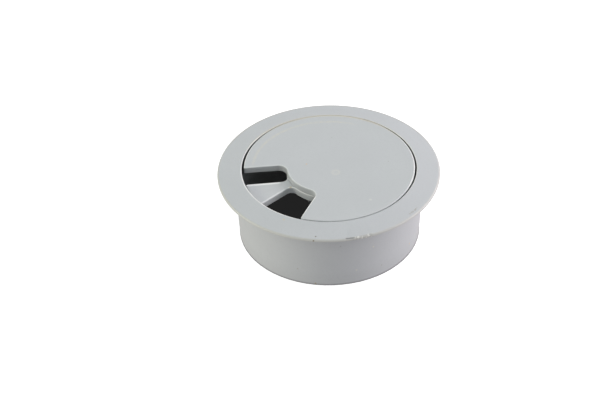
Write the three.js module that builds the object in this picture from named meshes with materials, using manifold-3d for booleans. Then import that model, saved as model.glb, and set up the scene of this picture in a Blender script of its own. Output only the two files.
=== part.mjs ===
// Round desk grommet for a 60 mm hole: a flanged sleeve lines the hole, a lift-off cap with a wedge-shaped
// cable notch sits flush in it, and under the cap a shutter turns on the cap's hub to open or close the notch.
// Millimetres, +Z up. The origin is on the axis, at the sleeve's bottom rim.

import * as THREE from "three";
import { mergeVertices } from "three/addons/utils/BufferGeometryUtils.js";
import Module from "manifold-3d";

const wasm = await Module();
wasm.setup();

// Driving dimensions
const overallHeight = 24.2; // bottom rim to cap top
const roundSegments = 96; // facets of the large circles
const smallSegments = 32; // facets of the hub, washer and screw

const flange = {
  radius: 35,
  drop: 1.1, // fall of the conical top between the bore and the rim
  thickness: 1.85, // bore edge to underside
  rimRound: 0.65, // rounding of the rim's upper corner
};

const sleeve = {
  topRadius: 29.7,
  bottomRadius: 29.0,
  boreTopRadius: 27.5,
  boreBottomRadius: 27.3,
  boreChamfer: 0.25,
  neckRound: 0.4, // between the tube and the flange's underside
  leadInHeight: 3.6, // slimmer band at the bottom that starts the sleeve into its hole
  leadInStep: 0.12,
  bottomChamfer: 0.4,
};

const cap = {
  radius: 27.15,
  thickness: 2.2,
  rimChamfer: 0.2,
  bossRadius: 4.5,
  bossLength: 8, // below the cap's underside
  pilotRadius: 1.75,
  skinOverPilot: 1.8,
};

// Wedge-shaped openings: straight edges that lie outside the radial lines, round inner end, filleted corners.
const capNotch = { halfAngle: 30.3, edgeOffset: 2.3, innerRadius: 13.1, corner: 2.9 };
const shutterSlot = { halfAngle: 30, edgeOffset: 2.95, innerRadius: 13.1, corner: 2.05 };
const notchDirection = 270; // degrees from +X

const shutter = {
  radius: 26.55,
  thickness: 2.2,
  gapUnderCap: 0.15,
  bladeHalfAngle: 18.6, // between the blade's middle and the radial line of each edge
  restTurn: -11, // of the blade from the notch's middle, degrees
  collarRadius: 7,
  boreRadius: 4.78,
};

const washer = { outerRadius: 7.8, innerRadius: 1.9, thickness: 1 };

const screw = {
  headRadius: 3.5,
  headHeight: 2.3,
  // points of the domed head, as shares of its radius and height
  headDome: [
    [0.6, 0.1],
    [0.9, 0.4],
  ],
  shankRadius: 1.55,
  shankLength: 8.2,
  tipLength: 1.6,
  recessLength: 3.8,
  recessWidth: 0.9,
  recessDepth: 1.3,
};

// The cap rests on short lugs inside the bore, one every 60 degrees except at the cable notch.
const seatLug = {
  directions: [30, 90, 150, 210, 330],
  halfAngle: 4,
  reach: 0.75, // inwards from the bore
  height: 2.4, // at the bore
  frontHeight: 1.2,
  gapUnderCap: 0.05,
};
const faceGap = 0.1; // between faces that are screwed together

// Levels worked out from the sizes above
const capUnderside = overallHeight - cap.thickness;
const flangeUnderside = overallHeight - flange.thickness;
const shutterTop = capUnderside - shutter.gapUnderCap;
const shutterUnderside = shutterTop - shutter.thickness;
const bossEnd = capUnderside - cap.bossLength;
const collarEnd = bossEnd + shutter.gapUnderCap;
const washerTop = bossEnd - faceGap;
const washerUnderside = washerTop - washer.thickness;
const headTop = washerUnderside - faceGap;
const slotPitch = shutter.bladeHalfAngle + shutterSlot.halfAngle;

const radians = THREE.MathUtils.degToRad;

// A closed three.js geometry as a solid that can be joined and cut.
function solidOf(geometry) {
  const bare = geometry.index ? geometry.toNonIndexed() : geometry.clone();
  bare.deleteAttribute("normal");
  bare.deleteAttribute("uv");
  const merged = mergeVertices(bare, 1e-4);
  return new wasm.Manifold(
    new wasm.Mesh({
      numProp: 3,
      vertProperties: merged.getAttribute("position").array,
      triVerts: new Uint32Array(merged.index.array),
    }),
  );
}

// A solid turned about the Z axis from a closed list of [radius, height] points.
function turned(profile, segments) {
  const points = profile.map(([radius, height]) => new THREE.Vector2(radius, height));
  return solidOf(new THREE.LatheGeometry(points, segments).rotateX(Math.PI / 2));
}

// A flat outline pushed up from one level to another.
function extruded(shape, bottom, top) {
  const options = { depth: top - bottom, bevelEnabled: false, curveSegments: 6 };
  return solidOf(new THREE.ExtrudeGeometry(shape, options).translate(0, 0, bottom));
}

// A quarter round as [radius, height] points, from one angle to another about its centre.
function quarterRound(centreRadius, centreHeight, round, startAngle, endAngle) {
  const steps = 4;
  return Array.from({ length: steps + 1 }, (unused, i) => {
    const angle = radians(startAngle + ((endAngle - startAngle) * i) / steps);
    return [centreRadius + round * Math.cos(angle), centreHeight + round * Math.sin(angle)];
  });
}

// The outline of one wedge-shaped opening, open past the rim, with its middle along +X.
function wedgeOutline({ halfAngle, edgeOffset, innerRadius, corner }) {
  const half = radians(halfAngle);
  const along = new THREE.Vector2(Math.cos(half), Math.sin(half));
  const outward = new THREE.Vector2(-Math.sin(half), Math.cos(half));
  const onEdge = (distance, offset) =>
    along.clone().multiplyScalar(distance).addScaledVector(outward, offset);
  const pastRim = onEdge(flange.radius, edgeOffset);
  const cornerReach = Math.sqrt((innerRadius + corner) ** 2 - (edgeOffset - corner) ** 2);
  const cornerCentre = onEdge(cornerReach, edgeOffset - corner);
  const cornerAngle = cornerCentre.angle();
  const edgeAngle = half + Math.PI / 2;
  const shape = new THREE.Shape();
  shape.moveTo(pastRim.x, -pastRim.y);
  shape.lineTo(pastRim.x, pastRim.y);
  shape.absarc(cornerCentre.x, cornerCentre.y, corner, edgeAngle, cornerAngle + Math.PI, false);
  shape.absarc(0, 0, innerRadius, cornerAngle, -cornerAngle, true);
  shape.absarc(cornerCentre.x, -cornerCentre.y, corner, -cornerAngle - Math.PI, -edgeAngle, false);
  return shape;
}

function wedge(sizes, direction, bottom, top) {
  return extruded(wedgeOutline(sizes), bottom, top).rotate([0, 0, direction]);
}

function makeSleeve() {
  const rimTop = overallHeight - flange.drop;
  const neckRadius = sleeve.topRadius + sleeve.neckRound;
  const taper = (sleeve.topRadius - sleeve.bottomRadius) / flangeUnderside;
  const bandTop = sleeve.bottomRadius + taper * sleeve.leadInHeight;
  const profile = [
    [sleeve.boreBottomRadius, 0],
    [sleeve.bottomRadius - sleeve.leadInStep - sleeve.bottomChamfer, 0],
    [sleeve.bottomRadius - sleeve.leadInStep, sleeve.bottomChamfer],
    [bandTop - sleeve.leadInStep, sleeve.leadInHeight - sleeve.leadInStep],
    [bandTop, sleeve.leadInHeight],
    ...quarterRound(neckRadius, flangeUnderside - sleeve.neckRound, sleeve.neckRound, 180, 90),
    [flange.radius, flangeUnderside],
    ...quarterRound(flange.radius - flange.rimRound, rimTop - flange.rimRound, flange.rimRound, 0, 90),
    [sleeve.boreTopRadius + sleeve.boreChamfer, overallHeight],
    [sleeve.boreTopRadius, overallHeight - sleeve.boreChamfer],
    [sleeve.boreBottomRadius, 0],
  ];
  const lugs = seatLug.directions.map(makeSeatLug);
  return turned(profile, roundSegments).add(wasm.Manifold.union(lugs));
}

// A lug is a short arc of the bore wall with a flat seat on top and a sloped underside.
function makeSeatLug(direction) {
  const seat = capUnderside - seatLug.gapUnderCap;
  const wall = (sleeve.boreTopRadius + sleeve.topRadius) / 2;
  const inner = sleeve.boreTopRadius - seatLug.reach;
  const profile = [
    [inner, seat - seatLug.frontHeight],
    [wall, seat - seatLug.height],
    [wall, seat],
    [inner, seat],
    [inner, seat - seatLug.frontHeight],
  ];
  const ring = turned(profile, roundSegments);
  const reach = flange.radius;
  const halfWidth = reach * Math.tan(radians(seatLug.halfAngle));
  const sector = new THREE.Shape([
    new THREE.Vector2(0, 0),
    new THREE.Vector2(reach, -halfWidth),
    new THREE.Vector2(reach, halfWidth),
  ]);
  return ring.intersect(extruded(sector, 0, overallHeight).rotate([0, 0, direction]));
}

function makeCap() {
  const disc = turned(
    [
      [0, bossEnd],
      [cap.bossRadius, bossEnd],
      [cap.bossRadius, capUnderside],
      [cap.radius, capUnderside],
      [cap.radius, overallHeight - cap.rimChamfer],
      [cap.radius - cap.rimChamfer, overallHeight],
      [0, overallHeight],
    ],
    roundSegments,
  );
  const pilotTop = overallHeight - cap.skinOverPilot;
  const pilot = turned(
    [
      [0, 0],
      [cap.pilotRadius, 0],
      [cap.pilotRadius, pilotTop],
      [0, pilotTop],
    ],
    smallSegments,
  );
  const notch = wedge(capNotch, notchDirection, shutterTop, overallHeight + 1);
  return disc.subtract(pilot).subtract(notch);
}

function makeShutter() {
  const disc = turned(
    [
      [shutter.boreRadius, collarEnd],
      [shutter.collarRadius, collarEnd],
      [shutter.collarRadius, shutterUnderside],
      [shutter.radius, shutterUnderside],
      [shutter.radius, shutterTop],
      [shutter.boreRadius, shutterTop],
      [shutter.boreRadius, collarEnd],
    ],
    roundSegments,
  );
  const bladeDirection = notchDirection + shutter.restTurn;
  const slots = [-1, 1].map((side) =>
    wedge(shutterSlot, bladeDirection + side * slotPitch, shutterUnderside - 1, capUnderside),
  );
  return disc.subtract(slots[0]).subtract(slots[1]);
}

function makeWasher() {
  return turned(
    [
      [washer.innerRadius, washerUnderside],
      [washer.outerRadius, washerUnderside],
      [washer.outerRadius, washerTop],
      [washer.innerRadius, washerTop],
      [washer.innerRadius, washerUnderside],
    ],
    smallSegments,
  );
}

// Self-tapping pan head screw, driven upwards into the cap's boss.
function makeScrew() {
  const tip = headTop + screw.shankLength;
  const headEnd = headTop - screw.headHeight;
  const dome = screw.headDome.map(([across, up]) => [
    across * screw.headRadius,
    headEnd + up * screw.headHeight,
  ]);
  const body = turned(
    [
      [0, headEnd],
      ...dome,
      [screw.headRadius, headTop],
      [screw.shankRadius, headTop],
      [screw.shankRadius, tip - screw.tipLength],
      [0, tip],
    ],
    smallSegments,
  );
  const slotSize = [screw.recessLength, screw.recessWidth, 2 * screw.recessDepth];
  const slot = solidOf(new THREE.BoxGeometry(...slotSize).translate(0, 0, headEnd));
  return body.subtract(slot).subtract(slot.rotate([0, 0, 90]));
}

// A named mesh with flat facets and its own material.
function part(name, solid, look) {
  const { vertProperties, triVerts } = solid.getMesh();
  const geometry = new THREE.BufferGeometry();
  geometry.setAttribute("position", new THREE.BufferAttribute(new Float32Array(vertProperties), 3));
  geometry.setIndex(new THREE.BufferAttribute(new Uint32Array(triVerts), 1));
  const mesh = new THREE.Mesh(geometry, new THREE.MeshStandardMaterial({ ...look, flatShading: true }));
  mesh.name = name;
  return mesh;
}

const plastic = { roughness: 0.5, metalness: 0 };
const grommet = new THREE.Group();
grommet.add(
  part("outer_sleeve", makeSleeve(), { ...plastic, color: 0xbfc0c4 }),
  part("cap", makeCap(), { ...plastic, color: 0xc1c5c6 }),
  part("rotary_shutter", makeShutter(), { ...plastic, color: 0xbdc0c2 }),
  part("pivot_washer", makeWasher(), { color: 0xb4b6b8, roughness: 0.35, metalness: 0.9 }),
  part("pivot_screw", makeScrew(), { color: 0xb9babc, roughness: 0.3, metalness: 0.9 }),
);

export default grommet;
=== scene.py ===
import math

import bmesh
import bpy
from mathutils import Matrix, Quaternion, Vector, noise
from mathutils.geometry import delaunay_2d_cdt


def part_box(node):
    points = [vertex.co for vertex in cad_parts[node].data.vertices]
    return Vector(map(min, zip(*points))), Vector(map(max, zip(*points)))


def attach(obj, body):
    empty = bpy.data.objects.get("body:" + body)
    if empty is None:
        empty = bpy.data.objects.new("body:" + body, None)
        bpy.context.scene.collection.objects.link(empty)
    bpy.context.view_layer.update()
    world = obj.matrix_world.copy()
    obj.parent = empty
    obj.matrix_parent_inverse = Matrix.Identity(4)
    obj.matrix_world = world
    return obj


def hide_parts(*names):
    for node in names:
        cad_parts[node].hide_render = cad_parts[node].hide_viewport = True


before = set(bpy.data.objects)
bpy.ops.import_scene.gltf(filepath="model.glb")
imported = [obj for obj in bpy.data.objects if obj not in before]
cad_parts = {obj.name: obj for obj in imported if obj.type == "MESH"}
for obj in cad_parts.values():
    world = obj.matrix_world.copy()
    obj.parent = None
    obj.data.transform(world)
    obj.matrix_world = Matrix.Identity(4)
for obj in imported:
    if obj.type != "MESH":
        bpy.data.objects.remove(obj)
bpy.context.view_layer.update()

scene = bpy.context.scene
millimetre = 0.001  # pieces are shaped in millimetres and scaled to metres at the end
mergeDistance = 0.001 * millimetre


# A CAD part's lowest and highest corners, in millimetres.
def cornersOf(node):
    low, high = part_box(node)
    return low / millimetre, high / millimetre


sleeveLow, sleeveHigh = cornersOf("outer_sleeve")
capLow, capHigh = cornersOf("cap")
shutterLow, shutterHigh = cornersOf("rotary_shutter")
washerLow, washerHigh = cornersOf("pivot_washer")
screwLow, screwHigh = cornersOf("pivot_screw")
topLevel = sleeveHigh.z
plateThickness = 2.2  # of the cap's disc and of the shutter's
capUnderside = topLevel - plateThickness
edgeStart = 15.2  # distance from the axis where the openings' edges become straight
print("frame loaded, height", round(topLevel, 2), "mm")


# Sets a node's inputs; each takes a value, three shares of colour, or the socket that feeds it.
def setInputs(node, inputs):
    for key, value in inputs.items():
        socket = node.inputs[key]
        if isinstance(value, bpy.types.NodeSocket):
            value.id_data.links.new(value, socket)
        else:
            socket.default_value = (*value, 1) if socket.type == "RGBA" else value


def addNode(tree, kind, inputs=None, **settings):
    node = tree.nodes.new(kind)
    for name, value in settings.items():
        setattr(node, name, value)
    setInputs(node, inputs or {})
    return node


# A sum on sockets or numbers, in the tree that its first socket belongs to.
def calc(operation, *values):
    tree = next(value.id_data for value in values if isinstance(value, bpy.types.NodeSocket))
    return addNode(tree, "ShaderNodeMath", dict(enumerate(values)), operation=operation).outputs[0]


# The product of any number of masks and shares.
def times(first, *others):
    for other in others:
        first = calc("MULTIPLY", first, other)
    return first


def inverse(mask):
    return calc("SUBTRACT", 1, mask)


# Runs smoothly from 0 at low to 1 at high; low may be the larger one.
def ramp(value, low, high):
    inputs = {"Value": value, "From Min": low, "From Max": high}
    node = addNode(value.id_data, "ShaderNodeMapRange", inputs, interpolation_type="SMOOTHSTEP")
    return node.outputs["Result"]


# A ramp whose limits are in millimetres.
def fade(value, low, high):
    return ramp(value, low * millimetre, high * millimetre)


# A tree with one geometry in and out, and named inputs of the given kinds.
def newTree(name, inputs):
    tree = bpy.data.node_groups.new(name, "GeometryNodeTree")
    tree.interface.new_socket("Geometry", in_out="INPUT", socket_type="NodeSocketGeometry")
    for label, kind in inputs.items():
        tree.interface.new_socket(label, in_out="INPUT", socket_type="NodeSocket" + kind)
    tree.interface.new_socket("Geometry", in_out="OUTPUT", socket_type="NodeSocketGeometry")
    return tree, tree.nodes.new("NodeGroupInput").outputs


# Every tree ends the same way: smooth, real geometry with its finish on.
def endTree(tree, geometry, finish):
    smooth = addNode(tree, "GeometryNodeSetShadeSmooth", {"Geometry": geometry})
    real = addNode(tree, "GeometryNodeRealizeInstances", {"Geometry": smooth.outputs[0]})
    painted = addNode(tree, "GeometryNodeSetMaterial", {"Geometry": real.outputs[0], "Material": finish})
    end = tree.nodes.new("NodeGroupOutput")
    tree.links.new(painted.outputs[0], end.inputs[0])
    return tree


def addObject(name, data):
    made = bpy.data.objects.new(name, data)
    scene.collection.objects.link(made)
    return made


# The plain mesh that an object's modifiers make; the object itself goes.
def plainMesh(holder):
    evaluated = holder.evaluated_get(bpy.context.evaluated_depsgraph_get())
    result = bpy.data.meshes.new_from_object(evaluated)
    holder.modifiers.clear()
    bpy.data.objects.remove(holder)
    return result


# Runs a tree on a mesh with the given inputs.
def runTree(name, mesh, tree, values):
    holder = addObject(name, mesh)
    modifier = holder.modifiers.new(tree.name, "NODES")
    modifier.node_group = tree
    for item in tree.interface.items_tree:
        if item.in_out == "INPUT" and item.name in values:
            modifier[item.identifier] = values[item.name]
    return plainMesh(holder)


def unitAt(angle):
    return Vector((math.cos(angle), math.sin(angle)))


# A closed loop through corners (x, y, rounding), with an arc and two support points at each.
def roundedLoop(corners, arcSteps=6, support=0.1):
    loop = []
    for i, (x, y, rounding) in enumerate(corners):
        here = Vector((x, y))
        before = (Vector(corners[i - 1][:2]) - here).normalized()
        after = (Vector(corners[(i + 1) % len(corners)][:2]) - here).normalized()
        if rounding == 0:
            loop.append(here)
            continue
        half = before.angle(after) / 2
        reach = rounding / math.tan(half)
        centre = here + (before + after).normalized() * rounding / math.sin(half)
        start = here + before * reach - centre
        turn = start.angle_signed(here + after * reach - centre)
        loop.append(here + before * (reach + support))
        for step in range(arcSteps + 1):
            angle = -turn * step / arcSteps
            loop.append(centre + Matrix.Rotation(angle, 2) @ start)
        loop.append(here + after * (reach + support))
    return loop


# A mesh of only a profile's points, as radius and height, for the turning tree.
def profileMesh(name, loop):
    mesh = bpy.data.meshes.new(name)
    points = [(x * millimetre, 0, y * millimetre) for x, y in loop]
    mesh.from_pydata(points, [(i, (i + 1) % len(points)) for i in range(len(points))], [])
    return mesh


# Turns a profile about the Z axis: a grid with its points as rows, and columns that go round.
def makeTurningTree():
    tree, inputs = newTree("turnProfile", {"Segments": "Int", "Finish": "Material"})
    size = addNode(tree, "GeometryNodeAttributeDomainSize", {"Geometry": inputs["Geometry"]})
    points = size.outputs["Point Count"]
    rows = calc("ADD", points, 1)
    columns = calc("ADD", inputs["Segments"], 1)
    grid = addNode(tree, "GeometryNodeMeshGrid", {"Vertices X": columns, "Vertices Y": rows})
    index = addNode(tree, "GeometryNodeInputIndex").outputs[0]
    column = calc("FLOOR", calc("DIVIDE", calc("ADD", index, 0.5), rows))
    row = calc("SUBTRACT", index, times(column, rows))
    sampled = {
        "Geometry": inputs["Geometry"],
        "Value": addNode(tree, "GeometryNodeInputPosition").outputs[0],
        "Index": calc("MODULO", row, points),
    }
    sample = addNode(tree, "GeometryNodeSampleIndex", sampled, data_type="FLOAT_VECTOR").outputs[0]
    angle = calc("DIVIDE", times(column, math.tau), inputs["Segments"])
    turning = {"Vector": sample, "Angle": angle}
    turned = addNode(tree, "ShaderNodeVectorRotate", turning, rotation_type="Z_AXIS").outputs[0]
    placing = {"Geometry": grid.outputs["Mesh"], "Position": turned}
    placed = addNode(tree, "GeometryNodeSetPosition", placing).outputs[0]
    merging = {"Geometry": placed, "Distance": mergeDistance}
    closed = addNode(tree, "GeometryNodeMergeByDistance", merging).outputs[0]
    return endTree(tree, closed, inputs["Finish"])


turningTree = makeTurningTree()


def turned(name, loop, segments, finish):
    values = {"Segments": segments, "Finish": finish}
    return runTree(name, profileMesh(name + "Profile", loop), turningTree, values)


# Drops edges that have no face, and turns all faces out.
def cleanShape(shape):
    loose = [edge for edge in shape.edges if not edge.link_faces]
    bmesh.ops.delete(shape, geom=loose, context="EDGES")
    bmesh.ops.recalc_face_normals(shape, faces=shape.faces)


# Joins meshes into one piece with its seams and poles closed and its faces pointing out.
def makePiece(name, meshes, finish):
    joined = bmesh.new()
    for mesh in meshes:
        joined.from_mesh(mesh)
    bmesh.ops.remove_doubles(joined, verts=joined.verts, dist=mergeDistance)
    cleanShape(joined)
    for face in joined.faces:
        face.smooth = True
        face.material_index = 0
    mesh = bpy.data.meshes.new(name)
    joined.to_mesh(mesh)
    joined.free()
    mesh.materials.append(finish)
    piece = addObject(name, mesh)
    print(name, "made,", len(mesh.polygons), "faces")
    return piece


# One edge of an opening along +X, from the disc's rim in to the hub, as (point, normal) pairs.
def wedgeEdge(rimRadius, opening, steps=6):
    along = unitAt(math.radians(opening["halfAngle"]))
    outward = Vector((-along.y, along.x))
    offset, tip, fillet = opening["edgeOffset"], opening["tipRound"], opening["hubFillet"]
    tipReach = math.sqrt((rimRadius - tip) ** 2 - (offset + tip) ** 2)
    tipCentre = along * tipReach + outward * (offset + tip)
    filletReach = math.sqrt((opening["hubRadius"] + fillet) ** 2 - (offset - fillet) ** 2)
    filletCentre = along * filletReach + outward * (offset - fillet)
    start, end = tipCentre.normalized(), -outward
    normals = [start.slerp(end, step / steps) for step in range(steps + 1)]
    edge = [(tipCentre + normal * tip, normal) for normal in normals]
    tipEnd = tipCentre - outward * tip
    filletStart = filletCentre + outward * fillet
    cuts = max(2, round((filletStart - tipEnd).length))
    edge += [(tipEnd.lerp(filletStart, cut / cuts), -outward) for cut in range(1, cuts)]
    start, end = outward, -filletCentre.normalized()
    directions = [start.slerp(end, step / (2 * steps)) for step in range(2 * steps + 1)]
    return edge + [(filletCentre + direction * fillet, -direction) for direction in directions]


def turnedBy(pairs, degrees):
    turn = Matrix.Rotation(math.radians(degrees), 2)
    return [(turn @ point, turn @ normal) for point, normal in pairs]


# An arc about the axis between two directions, without its end points.
def arcBetween(radius, startPoint, endPoint, degreesPerStep=1.5):
    start = math.atan2(startPoint.y, startPoint.x)
    sweep = (math.atan2(endPoint.y, endPoint.x) - start) % math.tau
    count = max(2, math.ceil(math.degrees(sweep) / degreesPerStep))
    normals = [unitAt(start + sweep * step / count) for step in range(1, count)]
    return [(normal * radius, normal) for normal in normals]


# The whole outline, anticlockwise, with openings in the given directions.
def discOutline(rimRadius, opening, directions):
    upper = wedgeEdge(rimRadius, opening)
    flip = Matrix.Diagonal((1, -1))
    lower = [(flip @ point, flip @ normal) for point, normal in upper]
    hub = arcBetween(opening["hubRadius"], lower[-1][0], upper[-1][0], 3)
    notch = lower + hub + upper[::-1]
    notches = [turnedBy(notch, direction) for direction in directions]
    outline = []
    for pairs, following in zip(notches, notches[1:] + notches[:1]):
        outline += pairs + arcBetween(rimRadius, pairs[-1][0], following[0][0])
    return outline


# Pairs that run a quarter round from (1, 0) to (0, 1), hollow towards (0, 0).
def quarterRound(steps=5):
    angles = [math.radians(90 * step / steps) for step in range(steps + 1)]
    return [(1 - math.sin(angle), 1 - math.cos(angle)) for angle in angles]


discEdge = {"topRound": 0.31, "bottomRound": 0.12, "flatSupport": 0.04, "highlightBand": 0.05}


# Inset and height pairs down a moulded edge: band for the painted highlight, rounded top, wall, rounded
# bottom.
def mouldedEdge(top, bottom, topRound, bottomRound, flatSupport, highlightBand):
    levels = [(topRound + flatSupport + highlightBand, top), (topRound + flatSupport, top)]
    levels += [(topRound * x, top - topRound * y) for x, y in quarterRound()]
    levels += [(0, top - topRound - flatSupport), (0, bottom + bottomRound + flatSupport)]
    levels += [(bottomRound * y, bottom + bottomRound * x) for x, y in quarterRound()]
    levels.append((bottomRound + flatSupport, bottom))
    return levels


def insetRing(outline, inset):
    return [point - normal * inset for point, normal in outline]


def circleRing(radius, count):
    return [radius * unitAt(math.tau * i / count) for i in range(count)]


# Triangles over the area between closed rings, with inner points for an even surface.
def fillBetween(shape, rings, innerPoints, height):
    points, edges = [], []
    for ring in rings:
        first = len(points)
        points += ring
        edges += [(first + i, first + (i + 1) % len(ring)) for i in range(len(ring))]
    points += innerPoints
    flat = delaunay_2d_cdt(points, edges, [], 0, 1e-5)
    vertices = [shape.verts.new((p.x, p.y, height(p))) for p in flat[0]]
    for triangle in flat[2]:
        centre = sum((flat[0][i] for i in triangle), Vector((0, 0))) / 3
        if sum(isInside(ring, centre) for ring in rings) % 2:
            shape.faces.new([vertices[i] for i in triangle])
    loose = [v for v in vertices if not v.link_faces]
    bmesh.ops.delete(shape, geom=loose, context="VERTS")


def isInside(ring, point):
    inside = False
    for i, b in enumerate(ring):
        a = ring[i - 1]
        if (a.y > point.y) != (b.y > point.y):
            if point.x < (b.x - a.x) * (point.y - a.y) / (b.y - a.y) + a.x:
                inside = not inside
    return inside


# A triangular lattice of points inside the first ring, clear of every ring.
def latticeInside(rings, pitch):
    reach = max(p.length for p in rings[0])
    rise = pitch * math.sin(math.radians(60))
    rows = int(reach / rise) + 1
    points = []
    for row in range(-rows, rows + 1):
        for column in range(-rows, rows + 1):
            point = Vector(((column + 0.5 * (row % 2)) * pitch, row * rise))
            if point.length > reach or not isInside(rings[0], point):
                continue
            if any(isInside(ring, point) for ring in rings[1:]):
                continue
            if min((point - p).length for ring in rings for p in ring) > 0.6 * pitch:
                points.append(point)
    return points


# Fills the flat area between closed rings with even triangles.
def fillFlat(shape, rings, pitch, level):
    fillBetween(shape, rings, latticeInside(rings, pitch), lambda point: level)


def bridgeRings(shape, rings):
    loops = [[shape.verts.new((p.x, p.y, z)) for p in ring] for ring, z in rings]
    for upper, lower in zip(loops, loops[1:]):
        for i in range(len(upper)):
            shape.faces.new((upper[i - 1], upper[i], lower[i], lower[i - 1]))
    return loops


def toMesh(shape, name):
    bmesh.ops.scale(shape, vec=Vector((millimetre,) * 3), verts=shape.verts)
    mesh = bpy.data.meshes.new(name)
    shape.to_mesh(mesh)
    shape.free()
    return mesh


def newMaterial(name):
    material = bpy.data.materials.new(name)
    material.use_nodes = True
    tree = material.node_tree
    return material, tree, tree.nodes["Principled BSDF"]


def cloud(place, scale, detail=3.0):
    inputs = {"Vector": place, "Scale": scale, "Detail": detail}
    return addNode(place.id_data, "ShaderNodeTexNoise", inputs).outputs["Fac"]


# Lays a colour over a base, as strongly as the product of the masks and shares.
def paint(base, colour, *masks):
    inputs = {0: times(*masks), 6: base, 7: colour}
    return addNode(masks[0].id_data, "ShaderNodeMix", inputs, data_type="RGBA").outputs[2]


# Small bumps of a depth in millimetres, over an earlier normal if there is one.
def bumps(strength, depth, height, normal=None):
    inputs = {"Strength": strength, "Distance": depth * millimetre, "Height": height}
    if normal:
        inputs["Normal"] = normal
    return addNode(height.id_data, "ShaderNodeBump", inputs).outputs[0]


plasticLook = {
    "colour": (0.500, 0.515, 0.520),
    "mottle": 0.012,  # share by which the cloudy pigment differs
    "cloudScale": 70,
    "fineMottle": 0.035,
    "fineScale": 1500,
    "speckScale": 260,  # about one cell in 4 mm
    "speckSize": 0.045,
    "speckRarity": 0.93,
    "speckColour": (0.34, 0.31, 0.27),
    "roughness": 0.42,
    "ior": 1.5,
    "waveStrength": 0.12,
    "waveScale": 140,
    "waveDepth": 0.05,
    "grainStrength": 0.18,
    "grainScale": 3200,
    "grainDepth": 0.02,
}


# Light grey moulded plastic: cloudy pigment, fine grain, specks of pellet colour, and its own marks.
def mouldedPlastic(name, look, marks):
    material, tree, shader = newMaterial(name)
    place = addNode(tree, "ShaderNodeTexCoord").outputs["Object"]
    shares = (-look["mottle"], look["mottle"], -look["fineMottle"])
    dark, light, fine = [[c * (1 + share) for c in look["colour"]] for share in shares]
    colour = paint(dark, light, ramp(cloud(place, look["cloudScale"]), 0.3, 0.7))
    colour = paint(colour, fine, ramp(cloud(place, look["fineScale"], 2), 0.45, 0.7), 0.6)
    cells = addNode(tree, "ShaderNodeTexVoronoi", {"Vector": place, "Scale": look["speckScale"]})
    chosen = addNode(tree, "ShaderNodeSeparateColor", {"Color": cells.outputs["Color"]}).outputs[0]
    small = ramp(cells.outputs["Distance"], look["speckSize"], look["speckSize"] * 0.4)
    rare = ramp(chosen, look["speckRarity"], look["speckRarity"] + 0.02)
    colour = paint(colour, look["speckColour"], small, rare)
    rough = calc("ADD", look["roughness"], times(cloud(place, look["cloudScale"] * 3), 0.08))
    colour, rough = marks(place, colour, rough)
    waves = cloud(place, look["waveScale"], 1)
    coarse = bumps(look["waveStrength"], look["waveDepth"], waves)
    grain = cloud(place, look["grainScale"], 2)
    normal = bumps(look["grainStrength"], look["grainDepth"], grain, coarse)
    setInputs(shader, {"Base Color": colour, "Roughness": rough, "IOR": look["ior"], "Normal": normal})
    return material


# Distance from the axis, how closely its direction matches a given one, and height.
def polarPlace(place, degrees):
    tree = place.id_data
    x, y, z = addNode(tree, "ShaderNodeSeparateXYZ", {"Vector": place}).outputs
    flat = addNode(tree, "ShaderNodeCombineXYZ", {"X": x, "Y": y}).outputs[0]
    radius = addNode(tree, "ShaderNodeVectorMath", {0: flat}, operation="LENGTH").outputs["Value"]
    direction = unitAt(math.radians(degrees)).to_3d()
    dot = addNode(tree, "ShaderNodeVectorMath", {0: flat, 1: direction}, operation="DOT_PRODUCT")
    return radius, calc("DIVIDE", dot.outputs["Value"], radius), z


# 1 close to a spot given in millimetres, 0 past its radius.
def spotMask(place, spot, radius):
    centre = Vector(spot) * millimetre
    away = addNode(place.id_data, "ShaderNodeVectorMath", {0: place, 1: centre}, operation="DISTANCE")
    return fade(away.outputs["Value"], radius, 0.4 * radius)


# 1 on a ring between two radii in millimetres, with soft borders.
def ringMask(radius, inner, outer, soft=0.12):
    rise = fade(radius, inner - soft, inner)
    return times(rise, fade(radius, outer + soft, outer))


# 1 in a direction from the axis, fading to 0 between two angles away from it.
def sectorMask(place, degrees, full, none):
    facing = polarPlace(place, degrees)[1]
    return ramp(facing, math.cos(math.radians(none)), math.cos(math.radians(full)))


# 1 on the two sides of a ring that face along a direction and against it, 0 past the half-angle.
def sideMask(place, degrees, halfAngle=57):
    facing = calc("ABSOLUTE", polarPlace(place, degrees)[1])
    return ramp(facing, math.cos(math.radians(halfAngle)), math.cos(math.radians(halfAngle / 2)))


# 1 on a wall under the rounded edges of a top at the given level.
def wallMask(level, top):
    return fade(level, top - 0.15, top - 0.32)


# 1 close to a circle about the axis, in millimetres, 0 past the given distance from it.
def lineMask(radius, circle, full, none):
    off = calc("ABSOLUTE", calc("SUBTRACT", radius, circle * millimetre))
    return fade(off, none, full)


# 1 on a narrow band along an opening's straight edge; side is 1 or -1 for where it lies.
def edgeBand(place, direction, side, offset, width):
    reach, facing, level = polarPlace(place, direction)
    aside = times(reach, polarPlace(place, direction + 90 * side)[1])
    near = fade(aside, offset + width, offset + 0.5 * width)
    return times(near, fade(times(reach, facing), edgeStart, edgeStart + 1))


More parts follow.
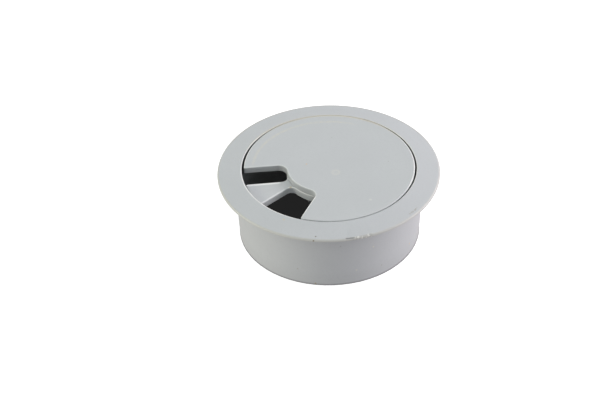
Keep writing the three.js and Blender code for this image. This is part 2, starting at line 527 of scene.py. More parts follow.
sleeve = {
    "flangeDrop": 1.1,
    "flangeThickness": 1.85,
    "rimRound": 0.62,
    "rimUnderRound": 0.1,
    "boreRadius": 27.5,
    "boreBottomRadius": 27.3,
    "boreRound": 0.22,
    "boreShift": 0.18,  # the bore's top lies a little off the flange's centre, in this direction
    "boreShiftDirection": 54,
    "neckRadius": 29.7,
    "neckFillet": 0.4,
    "bottomRadius": 29.0,
    "leadInHeight": 3.6,
    "leadInStep": 0.08,
    "leadInRound": 0.05,
    "bottomRound": 0.12,
    "segments": 384,
    "scarDirection": 339,  # where the rim's moulding gate was torn off
    "scarHalfAngle": 7.0,
    "scarDepth": 0.3,
    "lugDirection": 30,  # the first of six places, 60 degrees apart
    "lugPlaces": 6,
    "lugLeftOut": 4,  # the place at the cable notch
    "lugHalfWidth": 1.85,
    "lugReach": 0.75,
    "lugHeight": 2.4,
    "look": dict(plasticLook, colour=(0.500, 0.512, 0.522), speckRarity=0.9),
    "rimTint": (0.520, 0.510, 0.475),
    "backDirection": 144,  # the side where the rim's edge is darker and warmer and the seam has painted light
    "backRimTint": (0.44, 0.42, 0.39),
    "seamPaintedLight": (0.56, 0.53, 0.46),
    "scarTint": (0.47, 0.46, 0.43),
    "flakeTint": (0.72, 0.71, 0.67),
    "grooveTint": (0.22, 0.22, 0.22),
    "shadeAndHighlightSides": 59,  # the bore's wall gets painted shade and its edge a painted highlight towards this direction and its opposite
    "notchDirection": 270,
    "boreHighlightTint": (0.80, 0.79, 0.76),
    "gapPaintedShade": (0.1, 0.1, 0.1),
    "insidePaintedShade": (0.2, 0.2, 0.2),
    "scuffDirection": 13.5,
    "scuffRadius": 33.7,
    "scuffTint": (0.31, 0.28, 0.23),
    "lowTint": (0.3, 0.3, 0.3),
    "footPaintedShade": (0.24, 0.23, 0.25),
    "specks": (  # place, radius and colour
        ((24.6, -22.8, 23.3), 0.34, (0.20, 0.18, 0.15)),
        ((25.4, -24.2, 22.8), 0.4, (0.20, 0.15, 0.10)),
        ((13.0, -26.2, 23.9), 0.34, (0.62, 0.48, 0.26)),
        ((26.7, 11.6, 4.4), 0.4, (0.66, 0.52, 0.33)),
        ((20.6, -20.5, 0.5), 0.4, (0.42, 0.27, 0.10)),
        ((29.1, -4.5, 13.0), 0.4, (0.62, 0.60, 0.52)),
        ((27.5, -9.8, 5.2), 0.4, (0.62, 0.61, 0.54)),
        ((29.1, -1.3, 3.9), 0.35, (0.40, 0.40, 0.37)),
        ((25.7, -14.5, 15.9), 0.35, (0.40, 0.40, 0.40)),
        ((16.4, -24.1, 5.6), 0.35, (0.40, 0.39, 0.36)),
    ),
}


def boreShift():
    return unitAt(math.radians(sleeve["boreShiftDirection"])) * sleeve["boreShift"]


# A warm rim; at the back, a darker, warmer rim edge and painted light, tinted warm, on the seam.
def rimMarks(place, colour, onTube):
    s, rim, bore = sleeve, sleeveHigh.x, sleeve["boreRadius"]
    radius = polarPlace(place, 0)[0]
    back = sectorMask(place, s["backDirection"], 55, 80)
    warm = ringMask(radius, rim - 0.4, rim + 1)
    colour = paint(colour, s["rimTint"], warm, inverse(onTube), 0.75)
    colour = paint(colour, s["backRimTint"], ringMask(radius, rim - 0.7, rim + 1), back, 0.7)
    # painted light, tinted warm, on the seam at the back
    return paint(colour, s["seamPaintedLight"], ringMask(radius, bore - 0.1, bore + 0.3), back, 0.8)


# The torn gate: a rough strip with light flakes at one end and a dark groove at the other.
def scarMarks(place, colour, rough):
    s, rim = sleeve, sleeveHigh.x
    radius, facing, level = polarPlace(place, s["scarDirection"])
    aside = polarPlace(place, s["scarDirection"] + 90)[1]
    reach = math.sin(math.radians(s["scarHalfAngle"]))
    along = ramp(calc("ABSOLUTE", aside), reach + 0.004, reach - 0.01)
    along = times(along, calc("GREATER_THAN", facing, 0))
    scar = times(ringMask(radius, rim - 0.7, rim + 1), along)
    colour = paint(colour, s["scarTint"], scar, 0.6)
    flakes = ramp(cloud(place, 1300, 1), 0.5, 0.58)
    colour = paint(colour, s["flakeTint"], scar, flakes, ramp(aside, -0.05, -0.02), 0.8)
    groove = times(ringMask(radius, rim - 0.55, rim - 0.38, 0.1), along)
    colour = paint(colour, s["grooveTint"], groove, ramp(aside, -0.03, -0.06), 0.8)
    return colour, calc("ADD", rough, times(scar, 0.2))


# Painted shade on the bore's wall low down and where the cap's gap is wide, and a painted highlight on its
# edge.
def boreMarks(place, colour):
    s, bore = sleeve, sleeve["boreRadius"]
    shift = boreShift().to_3d() * millimetre
    centred = addNode(place.id_data, "ShaderNodeVectorMath", {0: place, 1: shift}, operation="SUBTRACT")
    radius, facing, level = polarPlace(centred.outputs[0], 0)
    sides = sideMask(place, s["shadeAndHighlightSides"])
    under = wallMask(level, topLevel)
    top = inverse(under)
    wall = times(under, fade(radius, bore + 0.6, bore + 0.3))
    # painted shade on the bore's wall in the gap, at the two sides
    colour = paint(colour, s["gapPaintedShade"], wall, fade(level, 18, 20), sides, 0.85)
    # painted shade on the wall inside the tube, low down
    colour = paint(colour, s["insidePaintedShade"], wall, fade(level, 14, 10), 0.4)
    # painted highlights on the bore's edge at the two sides and by the notch
    colour = paint(colour, s["boreHighlightTint"], ringMask(radius, bore, bore + 0.2), top, sides, 0.55)
    notch = sectorMask(place, s["notchDirection"], 30, 36)
    return paint(colour, s["boreHighlightTint"], notch, ringMask(radius, bore, bore + 0.35), top, 0.65)


# All of the sleeve's marks: also a scuff, single specks, darker towards the foot with painted shade on its
# edge, and faint drag lines.
def sleeveMarks(place, colour, rough):
    s = sleeve
    radius, facing, level = polarPlace(place, 0)
    underside = topLevel - s["flangeThickness"]
    onTube = fade(level, underside - 0.05, underside - 0.45)
    colour = rimMarks(place, colour, onTube)
    colour, rough = scarMarks(place, colour, rough)
    colour = boreMarks(place, colour)
    scuff = times(lineMask(radius, s["scuffRadius"], 0.12, 0.36), 0.85)
    short = sectorMask(place, s["scuffDirection"], 1.5, 4.5)
    broken = ramp(cloud(place, 1800, 2), 0.4, 0.6)
    colour = paint(colour, s["scuffTint"], scuff, short, broken)
    for spot, size, tint in s["specks"]:
        colour = paint(colour, tint, spotMask(place, spot, size), 0.9)
    colour = paint(colour, s["lowTint"], fade(level, 7, 0), 0.12)
    # painted shade along the foot's edge
    colour = paint(colour, s["footPaintedShade"], fade(level, 0.6, 0.3), 0.55)
    stretched = addNode(place.id_data, "ShaderNodeMapping", {"Vector": place, "Scale": (1, 1, 0.05)})
    drag = ramp(cloud(stretched.outputs[0], 500, 2), 0.45, 0.75)
    return colour, calc("ADD", rough, times(drag, onTube, 0.05))


def sleeveProfile(s):
    rimTop = topLevel - s["flangeDrop"]
    underside = topLevel - s["flangeThickness"]
    band = s["bottomRadius"] + (s["neckRadius"] - s["bottomRadius"]) * s["leadInHeight"] / underside
    corners = [
        (s["boreBottomRadius"], sleeveLow.z, s["bottomRound"]),
        (s["bottomRadius"] - s["leadInStep"], sleeveLow.z, s["bottomRound"]),
        (band - s["leadInStep"], s["leadInHeight"] - s["leadInStep"], s["leadInRound"]),
        (band, s["leadInHeight"], s["leadInRound"]),
        (s["neckRadius"], underside, s["neckFillet"]),
        (sleeveHigh.x, underside, s["rimUnderRound"]),
        (sleeveHigh.x, rimTop, s["rimRound"]),
        (s["boreRadius"], topLevel, s["boreRound"]),
    ]
    return roundedLoop(corners, support=0.04)


# Puts one lug at each of the ring's places but the one left out.
def makeLugTree():
    kinds = {"Places": "Int", "Left Out": "Int", "First Direction": "Float", "Finish": "Material"}
    tree, inputs = newTree("seatLugs", kinds)
    line = addNode(tree, "GeometryNodeMeshLine", {"Count": inputs["Places"], "Offset": (0, 0, 0)})
    index = addNode(tree, "GeometryNodeInputIndex").outputs[0]
    compared = {2: index, 3: inputs["Left Out"]}
    skipped = addNode(tree, "FunctionNodeCompare", compared, data_type="INT", operation="EQUAL")
    deleted = {"Geometry": line.outputs[0], "Selection": skipped.outputs[0]}
    kept = addNode(tree, "GeometryNodeDeleteGeometry", deleted)
    step = calc("DIVIDE", math.tau, inputs["Places"])
    place = addNode(tree, "GeometryNodeInputIndex").outputs[0]
    past = calc("GREATER_THAN", place, calc("SUBTRACT", inputs["Left Out"], 0.5))
    angle = calc("ADD", times(calc("ADD", place, past), step), inputs["First Direction"])
    turn = addNode(tree, "ShaderNodeCombineXYZ", {"Z": angle}).outputs[0]
    placed = {"Points": kept.outputs[0], "Instance": inputs["Geometry"], "Rotation": turn}
    copies = addNode(tree, "GeometryNodeInstanceOnPoints", placed)
    return endTree(tree, copies.outputs[0], inputs["Finish"])


# One lug along +X: flat seat, sloped underside, and a back that sits inside the bore's wall.
def lugMesh(s, across=9):
    seat = capUnderside - 0.05
    inner, outer = s["boreRadius"] - s["lugReach"], s["boreRadius"] + 0.6
    corners = [
        (inner, seat - 0.45 * s["lugHeight"], 0.15),
        (outer, seat - s["lugHeight"], 0),
        (outer, seat, 0),
        (inner, seat, 0.15),
    ]
    section = roundedLoop(corners, arcSteps=4, support=0.05)
    shape = bmesh.new()
    stations = []
    for i in range(across):
        side = unitAt(s["lugHalfWidth"] * (2 * i / (across - 1) - 1) / s["boreRadius"])
        stations.append([shape.verts.new((*(r * side), z)) for r, z in section])
    for a, b in zip(stations, stations[1:]):
        for i in range(len(section)):
            shape.faces.new((a[i - 1], a[i], b[i], b[i - 1]))
    shape.faces.new(stations[0])
    shape.faces.new(stations[-1][::-1])
    return toMesh(shape, "seatLug")


# The torn gate leaves a ragged, slightly hollow strip along the rim.
def tearGate(mesh, s, inner=34.2):
    for vertex in mesh.vertices:
        x, y, z = vertex.co / millimetre
        radius = math.hypot(x, y)
        away = abs((math.degrees(math.atan2(y, x)) - s["scarDirection"] + 180) % 360 - 180)
        if radius > inner and away < s["scarHalfAngle"]:
            fading = min(1, (s["scarHalfAngle"] - away) / 1.2) * min(1, (radius - inner) / 0.5)
            rag = noise.noise(Vector((x, y, z)) * 1.2) + 0.4 * noise.noise(Vector((x, y, z * 2)) * 3.1)
            shift = s["scarDepth"] * fading * (0.6 * rag - 0.55)
            vertex.co += Vector((x / radius, y / radius, 0.5)) * shift * millimetre


# Moves the bore's top off the flange's centre, and leaves the foot where it is.
def shiftBore(mesh, s):
    for vertex in mesh.vertices:
        if vertex.co.xy.length < (s["boreRadius"] + 1) * millimetre:
            vertex.co.xy += boreShift() * vertex.co.z / topLevel


def makeSleeve(s):
    finish = mouldedPlastic("sleevePlastic", s["look"], sleeveMarks)
    shell = turned("sleeveShell", sleeveProfile(s), s["segments"], finish)
    tearGate(shell, s)
    shiftBore(shell, s)
    values = {
        "Places": s["lugPlaces"],
        "Left Out": s["lugLeftOut"],
        "First Direction": math.radians(s["lugDirection"]),
        "Finish": finish,
    }
    lugs = runTree("seatLugs", lugMesh(s), makeLugTree(), values)
    return makePiece("outerSleeve", [shell, lugs], finish)


outerSleeve = makeSleeve(sleeve)
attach(outerSleeve, "sleeve")
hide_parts("outer_sleeve")


cap = {
    "notchDirection": 270,
    "opening": {"halfAngle": 30.3, "edgeOffset": 2.3, "hubRadius": 13.1, "hubFillet": 2.9, "tipRound": 0.42},
    "lattice": 1.5,
    "gateMark": (4.0, -0.1),  # shallow round dish where the plastic came in
    "gateMarkRadius": 1.9,
    "gateMarkDepth": 0.05,
    "bossRadius": 4.5,
    "bossFillet": 0.5,
    "bossRound": 0.2,
    "pilotRadius": 1.75,
    "pilotTop": 22.4,
    "pilotLeadIn": 0.3,
    "bossSegments": 96,
    "stiffRadius": 18,  # out of round only past this radius
    "rimShrink": 0.05,
    "rimShift": 0.17,  # the disc sits off centre, away from this direction
    "shiftDirection": 290,
    "ovality": 0.23,
    "ovalDirection": 59,
    "look": dict(plasticLook, colour=(0.503, 0.518, 0.524), grainStrength=0.3),
    "scuffRadius": 23.8,
    "scuffDirection": 178,
    "scuffHalfAngle": 53,
    "scuffTint": (0.61, 0.59, 0.50),
    "leftWallDirection": 234,
    "wallPaintedShade": (0.25, 0.25, 0.25),
    "hubPaintedShade": (0.25, 0.22, 0.25),
    "edgeHighlightTint": (0.76, 0.76, 0.74),
    "bandWidth": 0.45,  # a painted highlight along one edge of the notch
    "bandHighlightTint": (0.88, 0.87, 0.84),
    "backDirection": 144,
    "seamPaintedLight": (0.56, 0.53, 0.46),
    "gateTint": (0.61, 0.60, 0.55),
    "specks": (  # place on the top, radius and colour
        ((-5.0, -4.9, topLevel), 0.36, (0.66, 0.46, 0.24)),
        ((21.4, 0.2, topLevel), 0.7, (0.58, 0.59, 0.57)),
        ((9.5, 16.4, topLevel), 0.26, (0.36, 0.35, 0.33)),
        ((-11.5, 9.8, topLevel), 0.24, (0.38, 0.37, 0.35)),
    ),
}


# How strongly a disc's rounded edges get a painted highlight: a share everywhere, fully where the mask is 1.
def paintedEdgeHighlight(mask, share):
    highlightShare = addNode(mask.id_data, "ShaderNodeAttribute", attribute_name="edgeHighlightShare").outputs["Fac"]
    return times(highlightShare, calc("MAXIMUM", mask, share))


# Painted shade on the walls, painted highlights on the edges and in one band along the notch, and painted
# light, tinted warm, on the seam at the back.
def capEdgeMarks(place, colour):
    s, opening = cap, cap["opening"]
    radius, facing, level = polarPlace(place, 0)
    wall = wallMask(level, topLevel)
    top = inverse(wall)
    leftWall = sectorMask(place, s["leftWallDirection"], 7, 11)
    # painted shade on the notch's left wall and on the hub's wall
    colour = paint(colour, s["wallPaintedShade"], wall, leftWall, 0.35)
    colour = paint(colour, s["hubPaintedShade"], wall, fade(radius, 17, 16), 0.15)
    onRim = fade(radius, 26.2, 26.5)
    inner = times(inverse(onRim), 0.45)
    sideHighlight = times(onRim, sideMask(place, s["ovalDirection"], 40))
    edges = calc("MAXIMUM", sideHighlight, inner)
    # painted highlights on the rounded edges, strongest on the rim's two sides
    colour = paint(colour, s["edgeHighlightTint"], paintedEdgeHighlight(edges, 0.12))
    direction = s["notchDirection"] + opening["halfAngle"]
    band = edgeBand(place, direction, 1, opening["edgeOffset"], s["bandWidth"])
    # a painted highlight in a band along the notch's right edge
    colour = paint(colour, s["bandHighlightTint"], band, top, 0.9)
    back = sectorMask(place, s["backDirection"], 45, 65)
    # painted light, tinted warm, on the rim next to the seam at the back
    return paint(colour, s["seamPaintedLight"], back, fade(radius, 26.7, 26.9), top, 0.8)


# All of the cap's marks: also a faint broken arc, the gate mark's ring and single specks.
def capMarks(place, colour, rough):
    s = cap
    radius, facing, level = polarPlace(place, s["scuffDirection"])
    reach = math.cos(math.radians(s["scuffHalfAngle"]))
    sector = ramp(facing, reach - 0.08, reach + 0.08)
    broken = calc("ADD", times(ramp(cloud(place, 1100), 0.44, 0.62), 0.6), 0.4)
    scuff = times(lineMask(radius, s["scuffRadius"], 0.2, 0.7), sector, broken)
    colour = paint(colour, s["scuffTint"], scuff, 0.5)
    rough = calc("ADD", rough, times(scuff, 0.1))
    colour = capEdgeMarks(place, colour)
    gate = (*s["gateMark"], topLevel)
    dish = spotMask(place, gate, s["gateMarkRadius"])
    core = spotMask(place, gate, s["gateMarkRadius"] * 0.6)
    ring = calc("SUBTRACT", dish, times(core, 0.75))
    colour = paint(colour, s["gateTint"], ring, 0.5)
    for spot, size, tint in s["specks"]:
        colour = paint(colour, tint, spotMask(place, spot, size), 0.8)
    return colour, calc("SUBTRACT", rough, times(dish, 0.05))


# Marks an outline's top edge, from the highlight band down the rounding, for the finish's painted highlight.
def markEdge(shape, loops, steps=5):
    highlightShare = shape.verts.layers.float["edgeHighlightShare"]
    for step, loop in enumerate(loops[1:steps + 3]):
        for vertex in loop:
            vertex[highlightShare] = math.cos(math.pi / 2 * step / (steps + 1))


# A disc's moulded edge as a new shape, and the rings that its top and underside have to fill.
def startDisc(outline, top, underside):
    levels = mouldedEdge(top, underside, **discEdge)
    shape = bmesh.new()
    shape.verts.layers.float.new("edgeHighlightShare")
    markEdge(shape, bridgeRings(shape, [(insetRing(outline, inset), z) for inset, z in levels]))
    return shape, insetRing(outline, levels[0][0]), insetRing(outline, levels[-1][0])


# A fillet from an underside down onto a boss or collar, as radius and height pairs.
def underFillet(radius, fillet, level):
    return [(radius + fillet * x, level - fillet * y) for x, y in quarterRound()]


# The disc isn't quite round or centred in its bore, as moulded parts are not.
def shrinkRim(shape, s):
    for vertex in shape.verts:
        radius = vertex.co.xy.length
        share = max(0, (radius - s["stiffRadius"]) / (capHigh.x - s["stiffRadius"]))
        if share > 0:
            angle = math.atan2(vertex.co.y, vertex.co.x)
            away = s["rimShrink"] + s["rimShift"] * math.cos(angle - math.radians(s["shiftDirection"]))
            oval = s["ovality"] * math.cos(2 * (angle - math.radians(s["ovalDirection"])))
            vertex.co.xy *= 1 - share**2 * (away + oval) / radius
            vertex.co.xy += boreShift() * share**2


def makeCap(s):
    finish = mouldedPlastic("capPlastic", s["look"], capMarks)
    outline = discOutline(capHigh.x, s["opening"], [s["notchDirection"]])
    shape, topRing, underRing = startDisc(outline, topLevel, capUnderside)
    gate, dish = Vector(s["gateMark"]), s["gateMarkRadius"]

    def dishedTop(point):
        share = (point - gate).length / dish
        return topLevel - (s["gateMarkDepth"] * (1 + math.cos(math.pi * share)) / 2 if share < 1 else 0)

    points = [p for p in latticeInside([topRing], s["lattice"]) if (p - gate).length > 1.2 * dish]
    for share in (0.2, 0.4, 0.6, 0.8, 1, 1.15):
        points += [gate + p for p in circleRing(share * dish, 24)]
    fillBetween(shape, [topRing], points + [gate], dishedTop)
    bossRing = circleRing(s["bossRadius"] + s["bossFillet"], s["bossSegments"])
    fillFlat(shape, [underRing, bossRing], 2 * s["lattice"], capUnderside)
    boss, edge, pilot, leadIn = s["bossRadius"], s["bossRound"], s["pilotRadius"], s["pilotLeadIn"]
    profile = underFillet(boss, s["bossFillet"], capUnderside) + [
        (boss, capLow.z + 1.5 * edge),
        (boss, capLow.z + edge),
        (boss - 0.3 * edge, capLow.z + 0.3 * edge),
        (boss - edge, capLow.z),
        (pilot + leadIn, capLow.z),
        (pilot, capLow.z + leadIn),
        (pilot, s["pilotTop"] - 0.1),
        (pilot - 0.1, s["pilotTop"]),
    ]
    loops = bridgeRings(shape, [(circleRing(r, s["bossSegments"]), z) for r, z in profile])
    shape.faces.new(loops[-1])
    shrinkRim(shape, s)
    return makePiece("flushCap", [toMesh(shape, "capShape")], finish)


flushCap = makeCap(cap)
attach(flushCap, "cap")
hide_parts("cap")


shutter = {
    "bladeDirection": 259,
    "bladeHalfAngle": 18.6,
    "opening": {"halfAngle": 30, "edgeOffset": 2.95, "hubRadius": 13.14, "hubFillet": 2.05, "tipRound": 0.42},
    "lattice": 2.0,
    "collarRadius": 7,
    "collarFillet": 0.5,
    "collarRound": 0.25,
    "hubBore": 4.78,
    "hubBoreRound": 0.2,
    "segments": 96,
    "look": dict(plasticLook, colour=(0.562, 0.574, 0.577)),
    "edgeHighlightTint": (0.86, 0.86, 0.84),
    "bandHighlightTint": (0.93, 0.93, 0.91),
    "bands": ((1, 1.3, 0.9), (-1, 0.8, 0.25)),  # side of the blade, width, and how strong its painted highlight is
    "speck": (-0.9, -14.0),
    "speckTint": (0.62, 0.50, 0.28),
}


# Painted highlights on the rounded edges and in bands along the blade's edges, and a speck.
def shutterMarks(place, colour, rough):
    s = shutter
    radius, facing, level = polarPlace(place, 0)
    colour = paint(colour, s["edgeHighlightTint"], paintedEdgeHighlight(fade(radius, 16, 14.5), 0.3))
    top = inverse(wallMask(level, shutterHigh.z))
    for side, width, light in s["bands"]:
        direction = s["bladeDirection"] - side * s["bladeHalfAngle"]
        band = edgeBand(place, direction, side, s["opening"]["edgeOffset"], width)
        colour = paint(colour, s["bandHighlightTint"], band, top, light)
    speck = spotMask(place, (*s["speck"], shutterHigh.z), 0.5)
    return paint(colour, s["speckTint"], speck, 0.6), rough


def makeShutter(s):
    finish = mouldedPlastic("shutterPlastic", s["look"], shutterMarks)
    pitch = s["bladeHalfAngle"] + s["opening"]["halfAngle"]
    directions = [s["bladeDirection"] - pitch, s["bladeDirection"] + pitch]
    outline = discOutline(shutterHigh.y, s["opening"], directions)
    top, underside, end = shutterHigh.z, shutterHigh.z - plateThickness, shutterLow.z
    shape, topRing, underRing = startDisc(outline, top, underside)
    collar, bore, boreRound = s["collarRadius"], s["hubBore"], s["hubBoreRound"]
    boreRing = circleRing(bore + boreRound, s["segments"])
    fillFlat(shape, [topRing, boreRing], s["lattice"], top)
    collarRing = circleRing(collar + s["collarFillet"], s["segments"])
    fillFlat(shape, [underRing, collarRing], 1.5 * s["lattice"], underside)
    edge = s["collarRound"]
    profile = underFillet(collar, s["collarFillet"], underside) + [
        (collar, end + 1.6 * edge),
        (collar, end + edge),
        (collar - 0.28 * edge, end + 0.28 * edge),
        (collar - edge, end),
        (bore + boreRound, end),
        (bore, end + boreRound),
        (bore, top - boreRound),
        (bore + boreRound, top),
    ]
    bridgeRings(shape, [(circleRing(r, s["segments"]), z) for r, z in profile])
    return makePiece("rotaryShutter", [toMesh(shape, "shutterShape")], finish)


rotaryShutter = makeShutter(shutter)
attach(rotaryShutter, "shutter")
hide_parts("rotary_shutter")


steelLook = {
    "colour": (0.60, 0.61, 0.63),
    "cloudShare": 0.12,  # share by which the cloudy plating is darker
    "platingScale": 900,
    "turningScale": 5000,
    "turningDepth": 0.01,
    "turningStrength": 0.25,
    "roughness": 0.28,
}

washer = {"holeRadius": 1.9, "outerRound": 0.22, "holeRound": 0.12, "segments": 96}

screw = {
    "headHeight": 2.3,
    "headSegments": 96,
    "coreRadius": 1.25,
    "tipLength": 1.6,
    "threadPitch": 1.27,
    "threadRadius": 1.42,
    "threadDepth": 0.31,
    "threadClear": 0.3,  # at both of the thread's ends
    "recessLength": 3.8,
    "recessWidth": 0.9,
    "recessDepth": 1.3,
}


# Zinc plated steel: slightly cloudy plating and turning marks round the axis.
def platedSteel(name, look):
    material, tree, shader = newMaterial(name)
    place = addNode(tree, "ShaderNodeTexCoord").outputs["Object"]
    radius, facing, level = polarPlace(place, 0)
    rings = addNode(tree, "ShaderNodeCombineXYZ", {"X": radius, "Y": level}).outputs[0]
    turning = cloud(rings, look["turningScale"], 2)
    plating = ramp(cloud(place, look["platingScale"], 4), 0.3, 0.7)
    dark = [(1 - look["cloudShare"]) * c for c in look["colour"]]
    colour = paint(dark, look["colour"], plating)
    rough = calc("ADD", look["roughness"], times(turning, 0.12))
    normal = bumps(look["turningStrength"], look["turningDepth"], turning)
    setInputs(shader, {"Base Color": colour, "Roughness": rough, "Metallic": 1, "Normal": normal})
    return material


def makeWasher(s):
    finish = platedSteel("washerSteel", steelLook)
    corners = [
        (s["holeRadius"], washerLow.z, s["holeRound"]),
        (washerHigh.x, washerLow.z, s["outerRound"]),
        (washerHigh.x, washerHigh.z, s["outerRound"]),
        (s["holeRadius"], washerHigh.z, s["holeRound"]),
    ]
    loop = roundedLoop(corners, support=0.05)
    return makePiece("pivotWasher", [turned("washerTurned", loop, s["segments"], finish)], finish)


# A coil of four-sided section that thins out at both ends.
def makeThreadTree():
    sizes = ("Turns", "Radius", "Length", "Depth", "Start Level")
    kinds = dict.fromkeys(sizes, "Float") | {"Finish": "Material"}
    tree, inputs = newTree("screwThread", kinds)
    coiled = {
        "Resolution": 32,
        "Rotations": inputs["Turns"],
        "Start Radius": inputs["Radius"],
        "End Radius": inputs["Radius"],
        "Height": inputs["Length"],
    }
    coil = addNode(tree, "GeometryNodeCurveSpiral", coiled)
    share = addNode(tree, "GeometryNodeSplineParameter").outputs["Factor"]
    full = times(ramp(share, 0, 0.1), ramp(share, 1, 0.8))
    width = calc("ADD", times(full, 0.9), 0.1)
    thinned = addNode(tree, "GeometryNodeSetCurveRadius", {"Curve": coil.outputs[0], "Radius": width})
    section = addNode(tree, "GeometryNodeCurvePrimitiveCircle", {"Resolution": 4, "Radius": inputs["Depth"]})
    swept = {"Curve": thinned.outputs[0], "Profile Curve": section.outputs[0], "Fill Caps": True}
    thread = addNode(tree, "GeometryNodeCurveToMesh", swept).outputs[0]
    lift = addNode(tree, "ShaderNodeCombineXYZ", {"Z": inputs["Start Level"]}).outputs[0]
    placed = addNode(tree, "GeometryNodeSetPosition", {"Geometry": thread, "Offset": lift})
    return endTree(tree, placed.outputs[0], inputs["Finish"])


def makeScrew(s):
    finish = platedSteel("screwSteel", steelLook)
    headEnd, headTop, tip = screwLow.z, screwLow.z + s["headHeight"], screwHigh.z
    headRadius = screwHigh.x
    corners = [
        (0, headEnd, 0),
        (0.62 * headRadius, headEnd + 0.05, 0.9),
        (headRadius, headTop - 0.45 * s["headHeight"], 0.35),
        (headRadius, headTop, 0.15),
        (s["coreRadius"], headTop, 0.15),
        (s["coreRadius"], tip - s["tipLength"], 0.3),
        (0, tip, 0),
    ]
    loop = roundedLoop(corners, support=0.03)
    body = turned("screwTurned", loop, s["headSegments"], finish)
    threadLength = tip - headTop - 2 * s["threadClear"]
    values = {
        "Turns": threadLength / s["threadPitch"],
        "Radius": s["threadRadius"] * millimetre,
        "Length": threadLength * millimetre,
        "Depth": s["threadDepth"] * millimetre,
        "Start Level": (headTop + s["threadClear"]) * millimetre,
        "Finish": finish,
    }
    thread = runTree("screwThread", bpy.data.meshes.new("threadStart"), makeThreadTree(), values)
    return makePiece("pivotScrew", [cutRecess(body, s, headEnd), thread], finish)


# Cuts the cross recess into the head.
def cutRecess(body, s, headEnd):
    cutter = bmesh.new()
    size = Vector((s["recessLength"], s["recessWidth"], 2 * s["recessDepth"]))
    for degrees in (0, 90):
        turn = Matrix.Rotation(math.radians(degrees), 3, "Z")
        place = Matrix.LocRotScale(Vector((0, 0, headEnd)), turn, size)
        bmesh.ops.create_cube(cutter, size=1, matrix=place)
    cross = addObject("recessCutter", toMesh(cutter, "recessCutter"))
    blank = addObject("screwBlank", makeSolid(body))
    modifier = blank.modifiers.new("recess", "BOOLEAN")
    modifier.operation = "DIFFERENCE"
    modifier.solver = "EXACT"
    modifier.use_self = True
    modifier.object = cross
    result = plainMesh(blank)
    bpy.data.objects.remove(cross)
    return result


# The turned mesh as one closed solid facing out, which the boolean cut needs.
def makeSolid(mesh):
    solid = bmesh.new()
    solid.from_mesh(mesh)
    cleanShape(solid)
    solid.to_mesh(mesh)
    solid.free()
    return mesh


pivotWasher = makeWasher(washer)
pivotScrew = makeScrew(screw)
for piece, node in ((pivotWasher, "pivot_washer"), (pivotScrew, "pivot_screw")):
    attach(piece, "cap")
    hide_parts(node)


studio = {
    "azimuth": 54.27,  # degrees, 0 looks along +Y
    "elevation": 37.297,
    "distance": 471.13,  # millimetres from the middle of the cap's top
    "aimRight": 1.0861,  # degrees that the middle of the cap lies right of the view's centre
    "aimUp": 1.3001,
    "roll": -0.966,
    "lens": 90,
    "sensor": 36,
    "sky": (0.616, 0.653, 0.668),
    "ground": (0.505, 0.477, 0.484),
    "backdrop": (1, 1, 1),
    "boxSize": 0.6,  # metres
    "boxes": {  # metres right, back and up, power and colour
        "leftBox": ((-1, -0.15, 0.3), 5.8, (1, 1, 0.84)),
        "rightBox": ((1, 0.06, 0.3), 7.4, (1, 0.94, 0.99)),
        "rightBackBox": ((0.75, 0.75, 0.55), 4.2, (1, 0.9, 0.91)),
    },
    "discs": {  # radius, level, grey and glow; a dark, faintly glowing disc as painted shade in the opening below, and a painted shadow round the foot
        "paleFloor": (6000, -0.1, 0.5, 0.75),
        "holeShadeDisc": (27.1, -0.04, 0.02, 0.015),
        "footShade": (29.04, -0.06, 0.02, 0.17),
    },
}


def studioPoint(right, back, up):
    turn = Matrix.Rotation(math.radians(studio["azimuth"]), 3, "Z")
    return turn @ Vector((right, back, up))


def makeCamera():
    data = bpy.data.cameras.new("studioCamera")
    data.lens = studio["lens"]
    data.sensor_width = studio["sensor"]
    data.clip_start = 0.01
    camera = addObject("studioCamera", data)
    rise = math.radians(studio["elevation"])
    back = studioPoint(0, -math.cos(rise), math.sin(rise))
    middle = Vector((0, 0, topLevel)) * millimetre
    right = studioPoint(1, 0, 0)
    up = back.cross(right)
    level = Matrix((right, up, back)).transposed()
    target = Vector((math.tan(math.radians(studio["aimRight"])), math.tan(math.radians(studio["aimUp"])), -1))
    aim = Vector((0, 0, -1)).rotation_difference(target)
    roll = Quaternion(target.normalized(), math.radians(studio["roll"]))
    turn = level @ (roll @ aim).inverted().to_matrix()
    camera.matrix_world = Matrix.LocRotScale(middle + back * studio["distance"] * millimetre, turn, None)
    scene.camera = camera


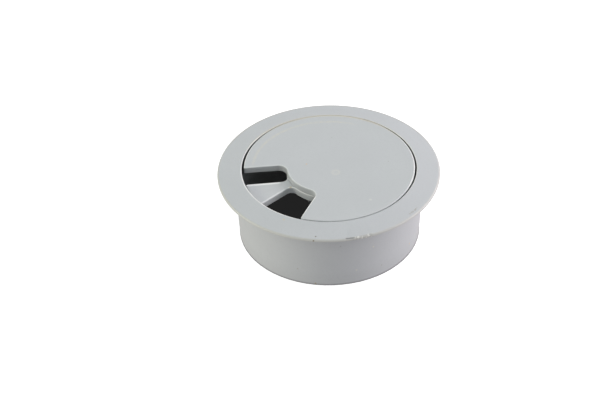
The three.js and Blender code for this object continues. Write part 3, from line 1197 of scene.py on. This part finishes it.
# A square soft box that faces the middle of the object.
def softBox(name, place, power, colour):
    data = bpy.data.lights.new(name, "AREA")
    data.shape = "RECTANGLE"
    data.size = data.size_y = studio["boxSize"]
    data.energy = power
    data.color = colour
    light = addObject(name, data)
    light.location = studioPoint(*place)
    aim = Vector((0, 0, 0.012)) - light.location
    light.rotation_euler = aim.to_track_quat("-Z", "Y").to_euler()


def flatDisc(name, radius, level, grey, glow):
    mesh = bpy.data.meshes.new(name)
    ring = circleRing(radius * millimetre, 64)
    mesh.from_pydata([(p.x, p.y, level * millimetre) for p in ring], [], [list(range(len(ring)))])
    disc = addObject(name, mesh)
    material, tree, shader = newMaterial(name)
    setInputs(shader, {"Base Color": (grey, grey, grey), "Roughness": 0.9, "Specular IOR Level": 0.1})
    setInputs(shader, {"Emission Color": (1, 1, 1), "Emission Strength": glow})
    mesh.materials.append(material)
    return disc


# Soft light from all round, a little weaker and warmer from below, and an even pale backdrop.
def makeWorld():
    world = bpy.data.worlds.new("studioWorld")
    scene.world = world
    world.use_nodes = True
    tree = world.node_tree
    direction = addNode(tree, "ShaderNodeTexCoord").outputs["Generated"]
    height = addNode(tree, "ShaderNodeSeparateXYZ", {"Vector": direction}).outputs["Z"]
    below = calc("LESS_THAN", height, 0)
    ambient = tree.nodes["Background"]
    setInputs(ambient, {"Color": paint(studio["sky"], studio["ground"], below)})
    seen = addNode(tree, "ShaderNodeBackground", {"Color": studio["backdrop"]})
    direct = addNode(tree, "ShaderNodeLightPath").outputs["Is Camera Ray"]
    mixed = addNode(tree, "ShaderNodeMixShader", {0: direct, 1: ambient.outputs[0], 2: seen.outputs[0]})
    tree.links.new(mixed.outputs[0], tree.nodes["World Output"].inputs["Surface"])


scene.view_settings.view_transform = "Standard"
makeCamera()
makeWorld()
discs = {name: flatDisc(name, *values) for name, values in studio["discs"].items()}
floor = discs["paleFloor"]
floor.visible_diffuse = False  # the light from below is the world's own
floor.visible_glossy = False
floor.visible_shadow = False
for name, values in studio["boxes"].items():
    softBox(name, *values)
print("studio made")
